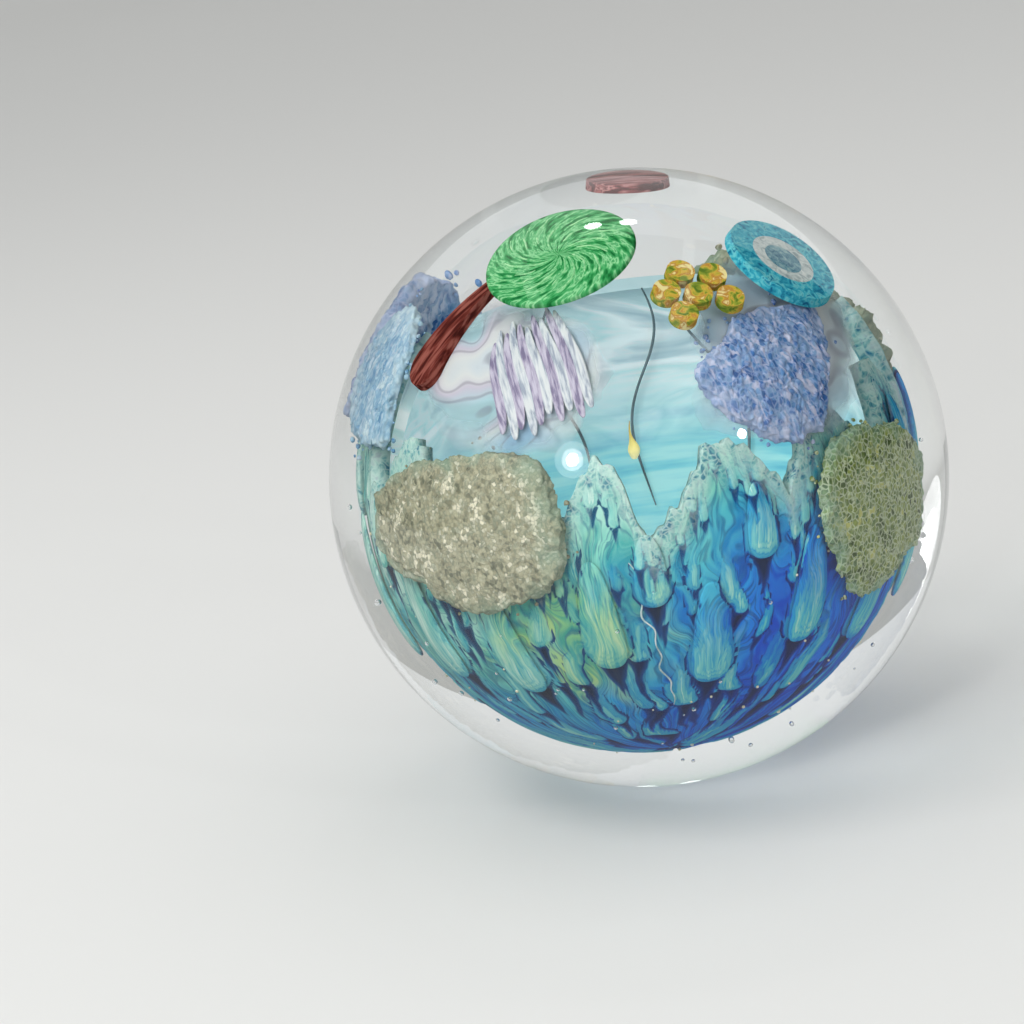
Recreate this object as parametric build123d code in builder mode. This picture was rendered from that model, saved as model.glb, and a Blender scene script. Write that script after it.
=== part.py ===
"""Glass paperweight: a clear ball, ground flat underneath, with coloured glass laid inside it.

A cobalt bowl with a flame-cut rim fills the lower half. Aqua runs hang down its outside, an
opal veil lines its back, and pads of crushed glass, slices of patterned cane, stripes and
threads lie over it and in it. Clear glass fills everything between them and the ball's surface.

Millimetres and degrees. The origin is the middle of the polished flat, +Z is up and -Y is the
front. A place on a layer is an azimuth, from the front towards +X, and a latitude, both seen
from the ball's middle.
"""

import os
from math import cos, radians, sin, sqrt, tau

from build123d import *

# ---- The clear ball ----
ball_diameter = 80.0
foot_diameter = 22.0  # polished flat that it stands on
foot_bevel = 0.4

# ---- Layers, from the inside out ----
film = 0.2  # clear glass between one layer and the next
core_diameter = 47.5  # outside of the cobalt bowl
veil_wall = 1.0
bowl_wall = 2.0
run_height = 0.6
pad_height = 1.2
slice_height = 1.5

# ---- Cobalt bowl: the flames of its rim ----
rim_latitude = 20.0
flame_count = 11
flame_gap = 12.0  # width of a notch at the rim
shallow_notch = 5.0
deep_notch = 12.0
first_notch = 8.0  # azimuth of the notch at the front

# ---- Aqua runs down the bowl: a tier of short ones over a tier of long ones ----
short_run = 8.0
short_run_width = 4.2
long_run = 13.0
long_run_width = 5.0
runs_in_tier = 12
short_tier_latitude = -3.0
long_tier_latitude = -24.0
tier_wander = 12.0  # how far a run may lie above or below its tier

# ---- Opal veil ----
veil_half_sweep = 75.0  # degrees to each side of the back
veil_low_latitude = -50.0
veil_top_latitude = 28.0

# ---- Pads of crushed glass: azimuth, latitude, turn, width, height ----
PADS = {
    "sand_pad": (-50, 3, 10, 29.0, 19.0),
    "moss_pad": (68, -8, -12, 22.0, 19.0),
    "heather_pad": (47, 32, 25, 21.0, 15.0),
    "sky_pad": (-101, 27, -15, 19.0, 14.0),
    "rear_sand_pad": (158, 4, -6, 23.0, 14.0),
    "rear_heather_pad": (-142, 15, 20, 18.0, 12.0),
}
pad_corners = 8
pad_dent = 0.12  # how far its outline wanders, as a share of its size

# ---- Slices of cane ----
green_slice_place = (-36, 73)
green_slice_diameter = 16.0
green_thread_count = 9
green_thread_length = 4.6
green_thread_width = 0.5
green_thread_lean = 35.0  # from straight out of the middle, like a pinwheel
teal_slice_place = (80, 50)
teal_slice_diameter = 12.0
teal_ring_diameter = 7.0
teal_eye_diameter = 4.2
amber_chip_diameter = 3.0
amber_chip_pitch = 3.4
amber_cluster_place = (34, 56)
rose_slice_place = (165, 66)
rose_slice_diameter = 7.5
russet_streak_place = (-72, 47, 80)
russet_streak_length = 15.0
russet_streak_width = 4.6

# ---- Striped ribbon ----
ribbon_place = (-29, 43, -65)
ribbon_length = 15.0
stripe_width = 0.85
stripe_pitch = 1.0
stripe_pairs = 5

# ---- Pieces inside the bowl ----
thread_diameter = 0.3
thread_half_arc = 20.0
THREADS = ((-166, 6, 82), (176, 4, 97), (158, 0, 76))  # azimuth, latitude, turn
lemon_bead_diameter = 1.4
lemon_tail = 3.0
lemon_bead_depth = 9.0  # in front of the ball's middle
lemon_bead_rise = 5.0  # over it

ball_radius = ball_diameter / 2
middle = Vector(0, 0, sqrt(ball_radius**2 - (foot_diameter / 2) ** 2))
core_radius = core_diameter / 2
bowl_inside = core_radius - bowl_wall
veil_outside = bowl_inside - film
veil_inside = veil_outside - veil_wall
run_inside = core_radius + film
run_outside = run_inside + run_height
pad_inside = run_outside + film
pad_outside = pad_inside + pad_height
slice_inside = pad_outside + film


def wander(i, step=0.618):
    """A value from 0 to 1 that keeps changing as i counts up."""
    return (i * step) % 1.0


def place_on(radius, azimuth, latitude, turn=0.0):
    """Plane that touches a sphere round the ball's middle: x runs round the ball, y upwards."""
    a = radians(azimuth)
    b = radians(latitude)
    c = radians(turn)
    outward = Vector(sin(a) * cos(b), -cos(a) * cos(b), sin(b))
    around = Vector(cos(a), sin(a), 0)
    upward = outward.cross(around)
    return Plane(middle + outward * radius, x_dir=around * cos(c) + upward * sin(c), z_dir=outward)


def layer(outside, inside):
    """Hollow sphere that gives a laid-on piece its two curved faces."""
    with BuildPart() as hollow:
        with Locations(middle):
            Sphere(outside)
            Sphere(inside, mode=Mode.SUBTRACT)
    return hollow.part


laid_in = []


def save(piece, label):
    piece.part.label = label
    export_step(piece.part, f"parts/{label}.step")
    laid_in.append(piece.part)


os.makedirs("parts", exist_ok=True)

# ---- Cobalt bowl ----
with BuildPart() as cobalt_bowl:
    with BuildSketch(Plane.XZ):
        with BuildLine():
            outer = CenterArc((0, middle.Z), core_radius, -90, 90 + rim_latitude)
            inner = CenterArc((0, middle.Z), bowl_inside, -90, 90 + rim_latitude)
            Line(outer @ 0, inner @ 0)
            Line(outer @ 1, inner @ 1)
        make_face()
    revolve(axis=Axis.Z)
    rim = core_radius * sin(radians(rim_latitude))
    for i in range(flame_count):
        depth = shallow_notch + (deep_notch - shallow_notch) * wander(i + 1)
        lean = flame_gap * (wander(i, 0.414) - 0.5) / 2
        with BuildSketch(place_on(bowl_inside / 2, first_notch + i * 360 / flame_count, 0)):
            with BuildLine():
                left = (-flame_gap / 2, rim + 1)
                right = (flame_gap / 2, rim + 1)
                Polyline(left, (lean, rim - depth), right, close=True)
            make_face()
        extrude(amount=core_radius, mode=Mode.SUBTRACT)
save(cobalt_bowl, "cobalt_bowl")

# ---- Aqua runs ----
run_layer = layer(run_outside, run_inside)


def tier_of_runs(latitude, length, width, phase):
    """Places for one tier of runs, evenly round the bowl and unevenly up and down it."""
    places = []
    for i in range(runs_in_tier):
        azimuth = (i + phase) * 360 / runs_in_tier
        places.append(place_on(run_outside, azimuth, latitude + tier_wander * (wander(i) - 0.5)))
    with BuildPart() as tier:
        with BuildSketch(*places):
            with Locations((0, (width - length) / 2)):
                Circle(width / 2)
            with Locations((0, length / 2)):
                Circle(width / 3)
            make_hull()
        extrude(amount=length / 3, both=True)
    return tier.part


with BuildPart() as aqua_runs:
    add(tier_of_runs(short_tier_latitude, short_run, short_run_width, 0.0))
    add(tier_of_runs(long_tier_latitude, long_run, long_run_width, 0.5))
    add(run_layer, mode=Mode.INTERSECT)
save(aqua_runs, "aqua_runs")

# ---- Opal veil ----
veil_rise = veil_top_latitude - veil_low_latitude
with BuildPart() as opal_veil:
    with BuildSketch(Plane.YZ.rotated((0, 0, -veil_half_sweep))):
        with BuildLine():
            outer = CenterArc((0, middle.Z), veil_outside, veil_low_latitude, veil_rise)
            inner = CenterArc((0, middle.Z), veil_inside, veil_low_latitude, veil_rise)
            Line(outer @ 0, inner @ 0)
            Line(outer @ 1, inner @ 1)
        make_face()
    revolve(axis=Axis.Z, revolution_arc=2 * veil_half_sweep)
save(opal_veil, "opal_veil")

# ---- Pads of crushed glass ----
pad_layer = layer(pad_outside, pad_inside)
for number, (name, (azimuth, latitude, turn, width, height)) in enumerate(PADS.items()):
    with BuildPart() as pad:
        with BuildSketch(place_on(pad_inside, azimuth, latitude, turn)):
            with BuildLine():
                outline = []
                for corner in range(pad_corners):
                    a = tau * corner / pad_corners
                    reach = 1 - pad_dent + pad_dent * sin(2.1 * corner + number)
                    outline.append((reach * cos(a) * width / 2, reach * sin(a) * height / 2))
                Spline(*outline, periodic=True)
            make_face()
        extrude(amount=(width + height) / 4, both=True)
        add(pad_layer, mode=Mode.INTERSECT)
    save(pad, name)

# ---- Green slice, with pale threads drawn through it like a pinwheel ----
green_face = place_on(slice_inside, *green_slice_place)
with BuildPart() as green_threads:
    with BuildSketch(green_face):
        with PolarLocations(green_slice_diameter * 0.27, green_thread_count):
            Rectangle(green_thread_length, green_thread_width, rotation=green_thread_lean)
    extrude(amount=slice_height)
with BuildPart() as green_slice:
    with BuildSketch(green_face):
        Circle(green_slice_diameter / 2)
    extrude(amount=slice_height)
    add(green_threads.part, mode=Mode.SUBTRACT)
save(green_threads, "green_slice_threads")
save(green_slice, "green_slice")

# ---- Teal slice: an eye in a white ring ----
teal_face = place_on(slice_inside, *teal_slice_place)
for name, outside, inside in (
    ("teal_slice", teal_slice_diameter, teal_ring_diameter),
    ("teal_slice_ring", teal_ring_diameter, teal_eye_diameter),
    ("teal_slice_eye", teal_eye_diameter, 0),
):
    with BuildPart() as part_of_slice:
        with BuildSketch(teal_face):
            Circle(outside / 2)
            if inside:
                Circle(inside / 2, mode=Mode.SUBTRACT)
        extrude(amount=slice_height)
    save(part_of_slice, name)

# ---- Rose slice ----
with BuildPart() as rose_slice:
    with BuildSketch(place_on(slice_inside, *rose_slice_place)):
        Circle(rose_slice_diameter / 2)
    extrude(amount=slice_height)
save(rose_slice, "rose_slice")

# ---- Amber chips ----
with BuildPart() as amber_chips:
    with BuildSketch(place_on(slice_inside, *amber_cluster_place)):
        with HexLocations(amber_chip_pitch / 2, 3, 2):
            Circle(amber_chip_diameter / 2)
    extrude(amount=slice_height)
save(amber_chips, "amber_chips")

# ---- Russet streak ----
with BuildPart() as russet_streak:
    with BuildSketch(place_on(pad_inside, *russet_streak_place)):
        with Locations((-russet_streak_length / 4, 0)):
            Circle(russet_streak_width / 2)
        with Locations((russet_streak_length / 2, russet_streak_width / 3)):
            Circle(russet_streak_width / 8)
        make_hull()
    extrude(amount=russet_streak_length / 3, both=True)
    add(pad_layer, mode=Mode.INTERSECT)
save(russet_streak, "russet_streak")

# ---- Striped ribbon ----
for name, first in (("lilac_stripes", 0), ("white_stripes", 1)):
    with BuildPart() as stripes:
        with BuildSketch(place_on(pad_inside, *ribbon_place)):
            for i in range(stripe_pairs):
                offset = (2 * i + first - stripe_pairs + 0.5) * stripe_pitch
                with Locations((0, offset)):
                    SlotOverall(ribbon_length * (0.75 + 0.25 * wander(i + first)), stripe_width)
        extrude(amount=ribbon_length / 3, both=True)
        add(pad_layer, mode=Mode.INTERSECT)
    save(stripes, name)

# ---- Grey threads, drawn over the inside of the veil ----
thread_reach = veil_inside - film - thread_diameter / 2
with BuildPart() as grey_threads:
    for azimuth, latitude, turn in THREADS:
        crown = place_on(thread_reach, azimuth, latitude, turn)
        points = []
        for step in (-1, 0, 1):
            a = radians(step * thread_half_arc)
            points.append(middle + (crown.z_dir * cos(a) + crown.x_dir * sin(a)) * thread_reach)
        with BuildLine():
            path = ThreePointArc(*points)
        with BuildSketch(Plane(path @ 0, z_dir=path % 0)):
            Circle(thread_diameter / 2)
        sweep(path=path)
save(grey_threads, "grey_threads")

# ---- Lemon bead, with the tail that it was dropped from ----
with BuildPart() as lemon_bead:
    with BuildSketch(Plane.XZ.offset(lemon_bead_depth)):
        with BuildLine():
            bead = CenterArc((0, middle.Z + lemon_bead_rise), lemon_bead_diameter / 2, -90, 120)
            tip = (0, middle.Z + lemon_bead_rise + lemon_tail)
            Line(bead @ 1, tip)
            Line(tip, bead @ 0)
        make_face()
    revolve(axis=Axis((0, -lemon_bead_depth, 0), (0, 0, 1)))
save(lemon_bead, "lemon_bead")

# ---- Clear ball, with everything above laid in it ----
with BuildPart() as clear_ball:
    with Locations(middle):
        Sphere(ball_radius)
    split(bisect_by=Plane.XY, keep=Keep.TOP)
    chamfer(clear_ball.faces().sort_by(Axis.Z)[0].edges(), foot_bevel)
    add(laid_in, mode=Mode.SUBTRACT)
save(clear_ball, "clear_ball")
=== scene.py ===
"""Glass paperweight: coloured glass laid in a clear ball, on a pale studio floor.

The file follows the ball from the inside out, as it is gathered and laid up at the furnace.
Lengths are in metres, written as millimetres times mm. A place on a layer is an azimuth, from
the front towards +X, and a latitude, both seen from the ball's middle.
"""

import math
import random

import bmesh
import bpy
import numpy as np
from mathutils import Matrix, Vector, noise


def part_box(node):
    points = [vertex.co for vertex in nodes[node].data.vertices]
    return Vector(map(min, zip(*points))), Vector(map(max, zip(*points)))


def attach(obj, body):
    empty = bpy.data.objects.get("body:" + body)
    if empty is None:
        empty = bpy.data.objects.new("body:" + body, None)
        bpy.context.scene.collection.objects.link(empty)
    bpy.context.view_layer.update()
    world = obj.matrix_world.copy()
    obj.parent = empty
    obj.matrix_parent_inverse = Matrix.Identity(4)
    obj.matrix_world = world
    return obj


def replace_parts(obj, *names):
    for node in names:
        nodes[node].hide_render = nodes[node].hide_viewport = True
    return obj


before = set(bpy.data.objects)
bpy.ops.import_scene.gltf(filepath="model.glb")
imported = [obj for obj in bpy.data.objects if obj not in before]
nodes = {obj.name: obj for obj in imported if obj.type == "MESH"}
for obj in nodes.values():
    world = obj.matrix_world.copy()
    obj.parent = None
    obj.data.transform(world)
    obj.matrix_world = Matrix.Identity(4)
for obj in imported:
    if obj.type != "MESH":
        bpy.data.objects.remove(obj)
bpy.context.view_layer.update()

# ---- Opal veil ----
# A thin shell of pale aqua opal glass, wrapped round the back of the first clear gather. The
# opal is stirred, so whiter and greyer wisps drift across it. It sinks into teal lines lower down
# and greys towards its upper edge, a painted shade that dulls the lit top rim. It also glows a
# little: painted light, an emission in its own colour that brightens it where the bowl keeps the
# lamps off it.
mm = 0.001
ball_low, ball_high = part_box("clear_ball")
bowl_low, bowl_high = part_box("cobalt_bowl")
bowl_reach = (bowl_high.x - bowl_low.x) / 2
ball_radius = (ball_high.x - ball_low.x) / 2
middle = Vector((0, 0, ball_high.z - ball_radius))


def linear(code):
    """An sRGB hex colour as linear red, green, blue and alpha."""
    channels = [int(code[i : i + 2], 16) / 255 for i in (1, 3, 5)]
    return [c / 12.92 if c <= 0.04045 else ((c + 0.055) / 1.055) ** 2.4 for c in channels] + [1.0]


def add_node(tree, kind, inputs=(), stops=(), out=0, **settings):
    """Adds a shader node with its settings and colour stops, and gives one of its outputs.

    Its inputs are values or links, by name or in the node's own order. A MapRange has the value,
    the lowest and highest that it comes from, and the lowest and highest that it goes to.
    """
    made = tree.nodes.new("ShaderNode" + kind)
    for name, value in settings.items():
        setattr(made, name, value)
    for name, value in inputs.items() if isinstance(inputs, dict) else enumerate(inputs):
        if isinstance(value, bpy.types.NodeSocket):
            tree.links.new(value, made.inputs[name])
        else:
            made.inputs[name].default_value = value
    for i, (place, code) in enumerate(stops):
        ramp = made.color_ramp.elements
        stop = ramp[i] if i < 2 else ramp.new(place)
        stop.position = place
        stop.color = linear(code)
    return made.outputs[out]


blended = {"data_type": "RGBA", "out": "Result"}


def coloured_glass(name):
    """A material for coloured glass sealed in clear glass, which shows no gloss of its own there."""
    made = bpy.data.materials.new(name)
    made.use_nodes = True
    shader = made.node_tree.nodes["Principled BSDF"]
    shader.inputs["Roughness"].default_value = 0.5
    shader.inputs["Specular IOR Level"].default_value = 0.0
    return made, made.node_tree, shader


def wear(node, material):
    """Gives a CAD node its material."""
    slots = nodes[node].data.materials
    slots.clear()
    slots.append(material)


opal, tree, shader = coloured_glass("stirred opal glass")
place = add_node(tree, "TexCoord", out="Object")
centred = add_node(tree, "VectorMath", [place, middle], operation="SUBTRACT")
sheared = add_node(tree, "Mapping", {"Vector": centred, "Scale": (1, 1, 2.4)})
stir = add_node(
    tree, "TexNoise", {"Vector": sheared, "Scale": 1 / (16 * mm), "Detail": 4.0, "Distortion": 1.6}
)
wisps = add_node(
    tree,
    "ValToRGB",
    [stir],
    [(0.30, "#a3c0c6"), (0.42, "#d9ecea"), (0.5, "#bfdcdc"), (0.6, "#f0f8f6"), (0.72, "#aac4ca")],
)
height = add_node(tree, "SeparateXYZ", [centred], out="Z")
veil_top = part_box("opal_veil")[1].z - middle.z
lines = add_node(tree, "Mapping", {"Vector": centred, "Scale": (0.12, 0.12, 1.0)})
drawn = add_node(tree, "TexNoise", {"Vector": lines, "Scale": 1 / (0.9 * mm), "Detail": 3.0})
teal_lines = add_node(
    tree, "ValToRGB", [drawn], [(0.32, "#62b4c4"), (0.5, "#84cbd0"), (0.68, "#a2d8d6")]
)
sink = add_node(tree, "MapRange", [height, -3.5 * mm, 1.5 * mm, 1.0, 0.0])
veil_colour = add_node(tree, "Mix", {"Factor": sink, "A": wisps, "B": teal_lines}, **blended)
# The top 2.5 mm greys over: painted shade that dulls the lit top rim of the veil.
rim_painted_shade = add_node(tree, "MapRange", [height, veil_top - 2.5 * mm, veil_top - 0.3 * mm, 0.0, 0.8])
veil_shade = add_node(
    tree, "Mix", {"Factor": rim_painted_shade, "A": veil_colour, "B": linear("#8fa9ae")}, **blended
)
tree.links.new(veil_shade, shader.inputs["Base Color"])
# The emission is painted light: the veil glows in its own colour, brighter than the lamps light it.
tree.links.new(veil_shade, shader.inputs["Emission Color"])
shader.inputs["Emission Strength"].default_value = 0.4
opal.cycles.emission_sampling = "NONE"
wear("opal_veil", opal)

# ---- Grey threads ----
# Hair-fine canes of smoke-grey glass, drawn out at the torch and picked up across the veil, where
# they sagged a little as it went soft. They are darker where the cane is thicker.
def finished(mesh, name, material):
    """Turns a bmesh into a smooth piece of the object, with its material."""
    data = bpy.data.meshes.new(name)
    for face in mesh.faces:
        face.smooth = True
    mesh.to_mesh(data)
    mesh.free()
    piece = bpy.data.objects.new(name, data)
    bpy.context.scene.collection.objects.link(piece)
    data.materials.append(material)
    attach(piece, "root")
    return piece


def lying_at(azimuth, latitude, turn=0.0):
    """Turns a place on the ball to lie flat: x along the piece, y across it and z outwards."""
    a, b, c = math.radians(azimuth), math.radians(latitude), math.radians(turn)
    out = Vector((math.sin(a) * math.cos(b), -math.cos(a) * math.cos(b), math.sin(b)))
    around = Vector((math.cos(a), math.sin(a), 0))
    along = around * math.cos(c) + out.cross(around) * math.sin(c)
    return Matrix((along, out.cross(along), out))


def hair(name, lines, thickness, widths, material):
    """Thin trails of glass along lines of points, each as thick along it as widths say."""
    trails = bmesh.new()
    for points in lines:
        curve = bpy.data.curves.new(name, "CURVE")
        curve.dimensions = "3D"
        curve.bevel_depth = thickness / 2
        curve.bevel_resolution = 2
        spline = curve.splines.new("NURBS")
        spline.points.add(len(points) - 1)
        for i, (point, spot) in enumerate(zip(spline.points, points)):
            point.co = (*spot, 1)
            share = i / (len(points) - 1)
            point.radius = float(np.interp(share, np.linspace(0, 1, len(widths)), widths))
        spline.use_endpoint_u = True
        trail = bpy.data.objects.new(name, curve)
        trails.from_mesh(trail.to_mesh())
        bpy.data.objects.remove(trail)
    return finished(trails, name, material)


thread_reach = bowl_reach - 3.4 * mm
thread_thickness = 0.24 * mm
thread_half_arc = 25
thread_points = 9
smoke, tree, shader = coloured_glass("smoke grey cane")
place = add_node(tree, "TexCoord", out="Object")
thickness = add_node(tree, "TexNoise", {"Vector": place, "Scale": 1 / (4 * mm), "Detail": 2.0})
shade = add_node(tree, "ValToRGB", [thickness], [(0.35, "#5d6e72"), (0.7, "#93a4a6")])
tree.links.new(shade, shader.inputs["Base Color"])
threads = []
for number, (azimuth, latitude, turn) in enumerate(((-166, 6, 82), (176, 4, 97), (158, 0, 76))):
    along, beside, out = lying_at(azimuth, latitude, turn)
    points = []
    for i in range(thread_points):
        a = math.radians(thread_half_arc * (2 * i / (thread_points - 1) - 1))
        sag = 0.05 * math.sin(i * 0.9 + number * 2.2)
        toward = out * math.cos(a) + along * math.sin(a) + beside * sag
        points.append(middle + toward.normalized() * thread_reach)
    threads.append(points)
thread_widths = (0.4, 1.0, 0.8, 1.0, 0.5)
hairs = hair("thread_hairs", threads, thread_thickness, thread_widths, smoke)
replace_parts(hairs, "grey_threads")

# ---- Lemon bead ----
# A drop of lemon-yellow opal, let fall into the bowl, with the tail that it was pulled from. It
# is palest in the bead and thins to amber along the tail. It also glows: painted light, an
# emission in its own colour that brightens it where it lies in shade.
lemon, tree, shader = coloured_glass("lemon opal bead")
bead_low, bead_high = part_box("lemon_bead")
bead_middle = (bead_low + bead_high) / 2
place = add_node(tree, "TexCoord", out="Object")
height = add_node(tree, "SeparateXYZ", [place], out="Z")
along = add_node(tree, "MapRange", [height, bead_low.z, bead_high.z])
paling = add_node(
    tree,
    "ValToRGB",
    [along],
    [(0.0, "#fbf3b4"), (0.35, "#f4e58c"), (0.65, "#dcc566"), (1.0, "#c2a45a")],
)
tree.links.new(paling, shader.inputs["Base Color"])
# The emission is painted light that brightens the bead where it lies in shade.
tree.links.new(paling, shader.inputs["Emission Color"])
shader.inputs["Emission Strength"].default_value = 0.5
lemon.cycles.emission_sampling = "NONE"
bead_thickness = 1.3 * mm
bead_widths = (0.35, 1.0, 0.8, 0.3, 0.16, 0.12, 0.06)
drop_line = []
for i in range(len(bead_widths)):
    rise = bead_low.z + (bead_high.z - bead_low.z) * i / (len(bead_widths) - 1)
    drop_line.append((bead_middle.x + 0.1 * mm * math.sin(i * 1.1), bead_middle.y, rise))
bead = hair("lemon_drop", [drop_line], bead_thickness, bead_widths, lemon)
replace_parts(bead, "lemon_bead")

# ---- Marbled bowl ----
# Cobalt and teal glass gathered over the veil and drawn up into a rim of flames. Aqua drips run
# down it, each ending in a round drop with a pointed navy gap below, and the glass between them
# is combed into fine lines that part round the drops.
bowl_wall = 2 * mm
bowl_inside = bowl_reach - bowl_wall
rim_latitude = math.radians(20)
rim_height = bowl_reach * math.sin(rim_latitude)
flames = 11
flame_gap = 12.0 * mm
first_notch = math.radians(8)

# Vector noise takes its seed from the clock unless it is given one.
noise.seed_set(6)


def wander(i, step=0.618):
    """A value from 0 to 1 that keeps changing as i counts up."""
    return (i * step) % 1.0


def smooth(low, high, x):
    """0 below low, 1 above high, and an easy curve between."""
    t = np.clip((x - low) / (high - low), 0, 1)
    return t * t * (3 - 2 * t)


def rim_at(azimuth):
    """Latitude of the flame-cut rim at each azimuth."""
    top = np.full_like(azimuth, rim_height)
    for i in range(flames):
        turn = azimuth - first_notch - i * math.tau / flames
        beside = np.where(np.cos(turn) > 0, bowl_reach * np.sin(turn), 1.0)
        lean = flame_gap * (wander(i, 0.414) - 0.5) / 2
        lip = rim_height + 1 * mm
        point = rim_height - (5 + 7 * wander(i + 1)) * mm
        left = point + (lip - point) * (lean - beside) / (lean + flame_gap / 2)
        right = point + (lip - point) * (beside - lean) / (flame_gap / 2 - lean)
        top = np.minimum(top, np.where(beside < lean, left, right))
    ripple = 0.35 * np.sin(azimuth * 61)
    ripple += 0.3 * np.sin(azimuth * 97 + 1.3) + 0.3 * np.sin(azimuth * 23 + 0.5)
    return np.arcsin(np.clip((top + ripple * mm) / bowl_reach, -1, 1))


# Each tier of runs has a latitude, a length and a width in millimetres, and its share of a turn.
run_count = 12
run_tiers = ((-3, 8.0, 4.2, 0.0), (-24, 13.0, 5.0, 0.5))


def place_of_run(i, latitude, offset):
    """Azimuth and latitude of the middle of one of the fat runs laid over the bowl."""
    return (i + offset) * math.tau / run_count, math.radians(latitude + 12 * (wander(i) - 0.5))


def on_ball(azimuth, latitude, reach):
    """Points at azimuths and latitudes, at a distance from the ball's middle."""
    level = reach * np.cos(latitude)
    rise = reach * np.sin(latitude) + middle.z
    return np.stack([level * np.sin(azimuth), -level * np.cos(azimuth), rise], axis=-1)


def choose_runs():
    """The fat runs: azimuth, top latitude, length, half width, tail and paleness."""
    runs = []
    for latitude, length, width, offset in run_tiers:
        for i in range(run_count):
            start, heart = place_of_run(i, latitude, offset)
            top = heart + length / 2 * mm / bowl_reach
            half, tail = width / 2 * mm, width * 1.1 * mm
            runs.append((start, top, length * mm, half, tail, 0.2 + 0.5 * wander(i)))
    return runs


# Each tier of tongues has a top latitude, and a length, a width and a spacing in millimetres.
tongue_tiers = (
    (-52, 12, 2.4, 7.0),
    (-38, 13, 2.6, 5.6),
    (-27, 12, 2.4, 4.6),
    (-17, 11, 2.2, 4.0),
    (-8, 9, 2.0, 3.4),
    (1, 7, 1.8, 3.0),
)


def choose_tongues(seed):
    """Tongues all over the bowl, the lowest tier first, in the same terms as the runs."""
    chance = random.Random(seed)
    tongues = []
    for top, length, width, apart in tongue_tiers:
        round_it = math.tau * bowl_reach * math.cos(math.radians(top - 12)) / mm
        count = round(round_it / apart)
        for i in range(count):
            half = width / 2 * chance.uniform(0.4, 1.15) * mm
            start = (i + chance.uniform(0.0, 0.9)) * math.tau / count
            rise = math.radians(top + chance.uniform(-7, 7))
            reach = length * chance.uniform(0.6, 1.5) * mm
            tail = half * chance.uniform(2.0, 7.5)
            tongues.append((start, rise, reach, half, tail, chance.random()))
    return tongues


def choose_fringe(seed, count=96):
    """Small pale drips that hang from the rim itself."""
    chance = random.Random(seed)
    fringe = []
    for i in range(count):
        start = (i + chance.uniform(0.0, 0.7)) * math.tau / count
        rise = float(rim_at(start)) - chance.uniform(0.0, 1.2) * mm / bowl_reach
        half = chance.uniform(0.35, 0.85) * mm
        reach = chance.uniform(2.0, 6.0) * mm
        tail = chance.uniform(1.5, 4.0) * mm
        fringe.append((start, rise, reach, half, tail, 1.2 + 0.3 * chance.random()))
    return fringe


fat_runs = choose_runs()
tongues = choose_tongues(5)
fringe = choose_fringe(7)


def lay(fields, drips, azimuth, latitude):
    """Paints drips over what is there already.

    The fields say how far inside a drip and inside a navy gap each point is, the drip's tint, how
    far the combed lines are pushed aside, and how far down the drip the point lies.
    """
    inside, gap, tint, parting, run = fields
    for start, top, length, half, tail, hue in drips:
        turn = (azimuth - start + math.pi) % math.tau - math.pi
        beside = turn * np.cos(latitude) * bowl_reach
        down = (top - latitude) * bowl_reach
        close = (down > -2 * mm) & (down < length + tail + 6 * mm)
        near = np.nonzero((np.abs(beside) < 8 * mm) & close)[0]
        side, along = beside[near], down[near]
        heart = length - half
        share = along / heart
        width = half * (0.62 + 0.38 * smooth(0.2, 1, share)) * smooth(-0.1, 0.35, share)
        in_drip = np.where(along < heart, width - np.abs(side), half - np.hypot(side, along - heart))
        fall = (along - heart) / (tail + half)
        spike = (half + 0.1 * mm) * np.clip(1 - fall, 0, 1) ** 1.4
        in_gap = np.where((fall > 0) & (fall < 1), spike - np.abs(side), -9 * mm)
        rimmed = 0.25 * mm * smooth(0.3, 0.8, along / length)
        mine = in_drip > -rimmed
        in_gap = np.where(mine, in_drip * -1.0, in_gap)
        gap[near] = np.where(mine, in_gap, np.maximum(gap[near], in_gap))
        tint[near] = np.where(mine, hue, tint[near])
        run[near] = np.where(mine, np.clip(along / length, 0, 1), run[near])
        cleared = np.where(in_gap > -0.1 * mm, -1.0 * mm, inside[near])
        inside[near] = np.where(mine, in_drip, cleared)
        push = np.exp(-((side / (1.7 * half)) ** 2) - ((along - heart) / (3.5 * half)) ** 2)
        parting[near] += np.tanh(side / (0.5 * half)) * push * half


def read_points(piece):
    """The piece's vertices as an array, one row each."""
    points = np.empty(len(piece.data.vertices) * 3)
    piece.data.vertices.foreach_get("co", points)
    return points.reshape(-1, 3)


marble_names = ("inside", "gap", "run", "tint", "parting", "below_rim")


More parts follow.
